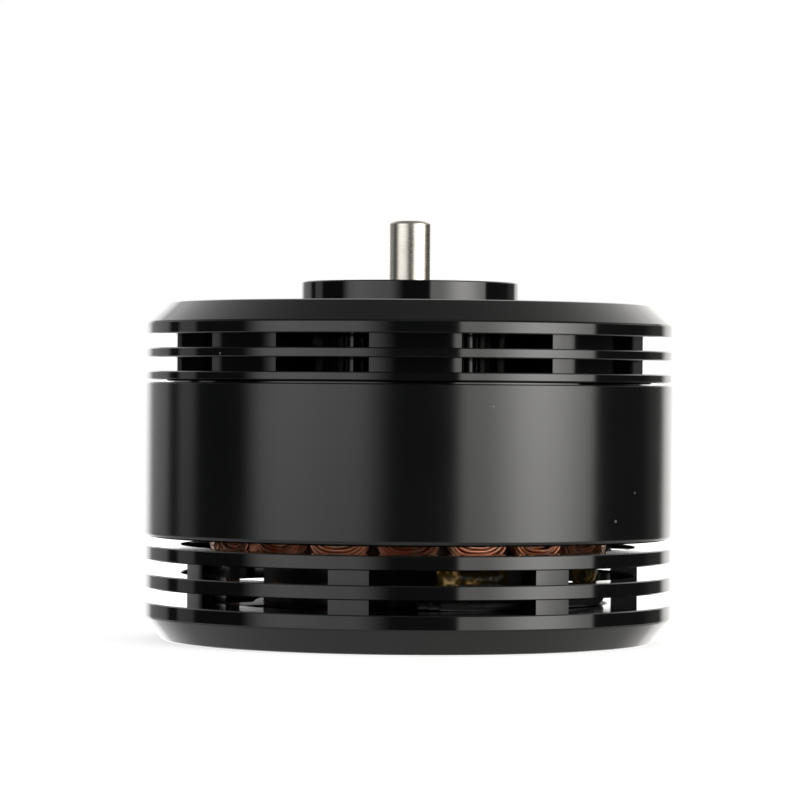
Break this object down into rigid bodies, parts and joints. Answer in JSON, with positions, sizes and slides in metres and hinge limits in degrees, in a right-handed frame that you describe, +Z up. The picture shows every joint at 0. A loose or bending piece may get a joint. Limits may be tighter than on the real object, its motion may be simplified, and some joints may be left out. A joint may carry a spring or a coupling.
{
  "type": "brushless drone motor",
  "caption": "Outrunner brushless motor with a finned base and bell, black flux ring, copper coils and a steel shaft, for a multirotor",
  "frame": {"origin": "on the shaft's axis, at the level of the base's mounting face", "axes": "+Z up along the shaft, -Y to the front, +X to the right of the front"},
  "size_m": [0.063, 0.063, 0.0499],
  "materials": {
    "anodised_black": "gloss black anodised aluminium",
    "ring_black": "semi-gloss black coated steel",
    "polished_shaft": "ground and polished steel",
    "bearing_steel": "ground bearing steel",
    "spring_steel": "dark spring steel",
    "copper_wire": "enamelled copper wire",
    "coated_core": "epoxy-coated steel laminations",
    "yellow_tape": "amber film tape"
  },
  "bodies": {
    "stator": {"base": "anodised_black", "stator_core": "coated_core", "coil_01": "copper_wire", "coil_02": "copper_wire", "coil_03": "copper_wire", "coil_04": "copper_wire", "coil_05": "copper_wire", "coil_06": "copper_wire", "coil_07": "copper_wire", "coil_08": "copper_wire", "coil_09": "copper_wire", "coil_10": "copper_wire", "coil_11": "copper_wire", "coil_12": "copper_wire", "coil_13": "copper_wire", "coil_14": "copper_wire", "coil_15": "copper_wire", "coil_16": "copper_wire", "coil_17": "copper_wire", "coil_18": "copper_wire", "lead_joint_wrap_1": "yellow_tape", "lead_joint_wrap_2": "yellow_tape", "lead_joint_wrap_3": "yellow_tape", "lower_bearing_outer_ring": "bearing_steel", "upper_bearing_outer_ring": "bearing_steel", "lower_bearing_lower_shield": "bearing_steel", "lower_bearing_upper_shield": "bearing_steel", "upper_bearing_lower_shield": "bearing_steel", "upper_bearing_upper_shield": "bearing_steel"},
    "rotor": {"bell_cap": "anodised_black", "flux_ring": "ring_black", "shaft": "polished_shaft", "bell_shim": "spring_steel", "thrust_washer": "spring_steel", "retaining_clip": "spring_steel", "lower_bearing_inner_ring": "bearing_steel", "upper_bearing_inner_ring": "bearing_steel"},
    "lower_cage": {"lower_bearing_cage": "bearing_steel", "lower_bearing_ball_1": "bearing_steel", "lower_bearing_ball_2": "bearing_steel", "lower_bearing_ball_3": "bearing_steel", "lower_bearing_ball_4": "bearing_steel", "lower_bearing_ball_5": "bearing_steel", "lower_bearing_ball_6": "bearing_steel", "lower_bearing_ball_7": "bearing_steel"},
    "upper_cage": {"upper_bearing_cage": "bearing_steel", "upper_bearing_ball_1": "bearing_steel", "upper_bearing_ball_2": "bearing_steel", "upper_bearing_ball_3": "bearing_steel", "upper_bearing_ball_4": "bearing_steel", "upper_bearing_ball_5": "bearing_steel", "upper_bearing_ball_6": "bearing_steel", "upper_bearing_ball_7": "bearing_steel"}
  },
  "joints": [
    {"name": "rotor_spin", "type": "hinge", "parent": "stator", "child": "rotor", "pos_m": [0, 0, 0.02], "axis": [0, 0, 1], "continuous": true},
    {"name": "lower_cage_spin", "type": "hinge", "parent": "stator", "child": "lower_cage", "pos_m": [0, 0, 0.0058], "axis": [0, 0, 1], "continuous": true},
    {"name": "upper_cage_spin", "type": "hinge", "parent": "stator", "child": "upper_cage", "pos_m": [0, 0, 0.02899], "axis": [0, 0, 1], "continuous": true}
  ],
  "couplings": [
    {"joint": "lower_cage_spin", "follows": "rotor_spin", "ratio": 0.3962},
    {"joint": "upper_cage_spin", "follows": "rotor_spin", "ratio": 0.3962}
  ]
}
